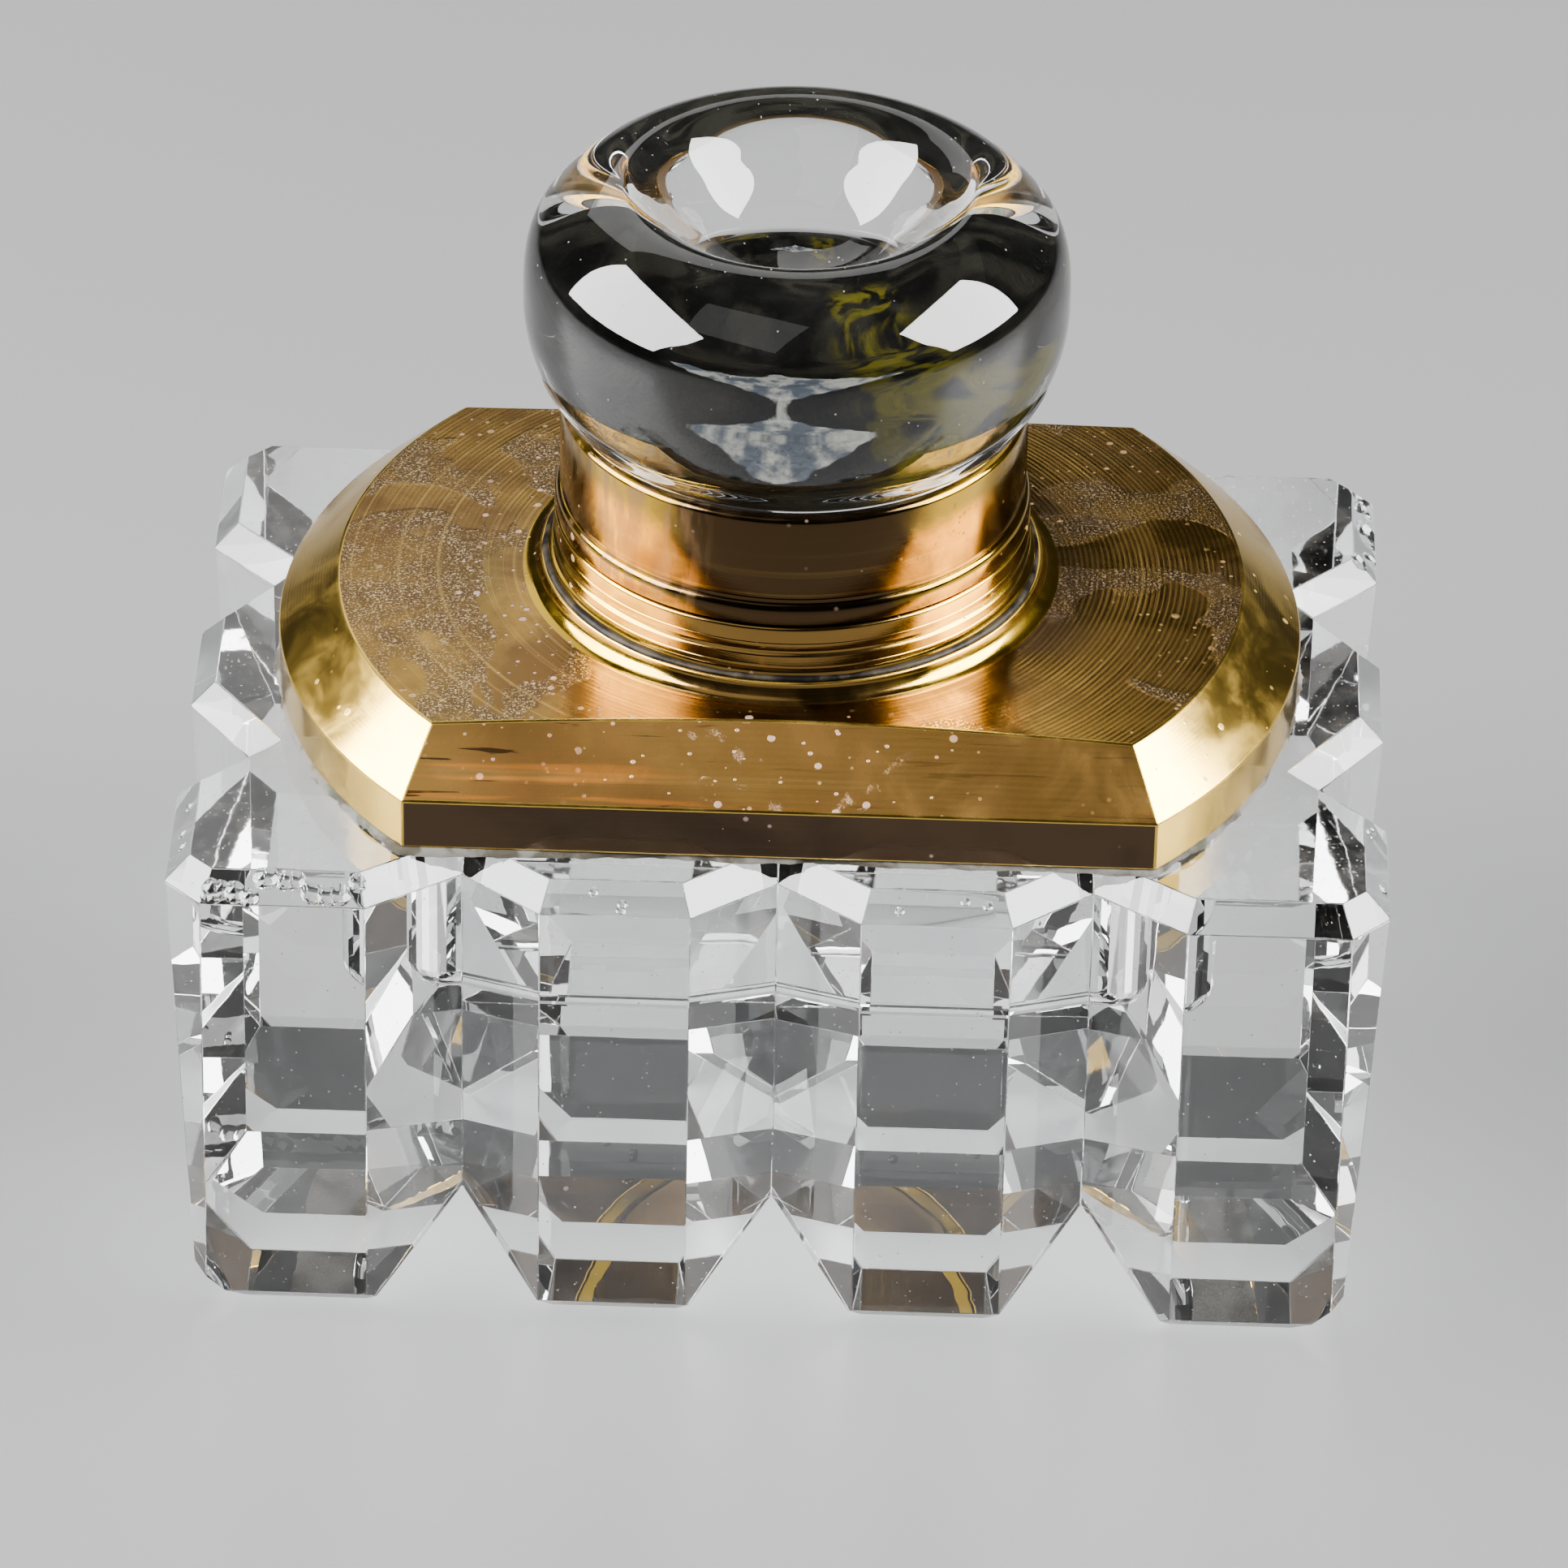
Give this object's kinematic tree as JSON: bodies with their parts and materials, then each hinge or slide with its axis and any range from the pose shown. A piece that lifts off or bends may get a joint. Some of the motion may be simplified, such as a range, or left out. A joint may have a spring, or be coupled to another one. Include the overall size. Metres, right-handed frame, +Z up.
{
  "type": "inkwell",
  "caption": "Rectangular cut-crystal desk inkwell with V-fluted sides and feet, a brass cover and neck, and a hinged brass-ringed lid with a dished crystal finial.",
  "frame": {"origin": "centre of the glass block's footprint, on the plane its feet rest on", "axes": "+Z up; +X along the block's long side; the front long face looks toward -Y and the lid's hinge is toward +Y"},
  "size_m": [0.0758, 0.0532, 0.0679],
  "materials": {
    "crystal": "clear lead crystal, cut and polished facets with lightly worn edges",
    "brass": "turned brass, aged golden brown with mottled tarnish and small pale spots",
    "hinge_brass": "filed brass, aged golden brown",
    "plaster": "old off-white plaster, chalky and stained",
    "solder": "dull grey soft solder"
  },
  "bodies": {
    "inkwell_base": {"glass_block": "crystal", "cement_bed": "plaster", "cover_plate": "brass", "neck_collar": "brass", "solder_seam": "solder", "collar_hinge_leaf": "hinge_brass", "hinge_pin": "hinge_brass"},
    "lid": {"lid_hinge_leaf": "hinge_brass", "lid_ring": "brass", "lid_disc": "brass", "lid_cement": "plaster", "glass_finial": "crystal"}
  },
  "joints": [
    {"name": "lid_hinge", "type": "hinge", "parent": "inkwell_base", "child": "lid", "pos_m": [0, 0.017, 0.04481], "axis": [-1, 0, 0], "range_deg": [0, 105]}
  ]
}
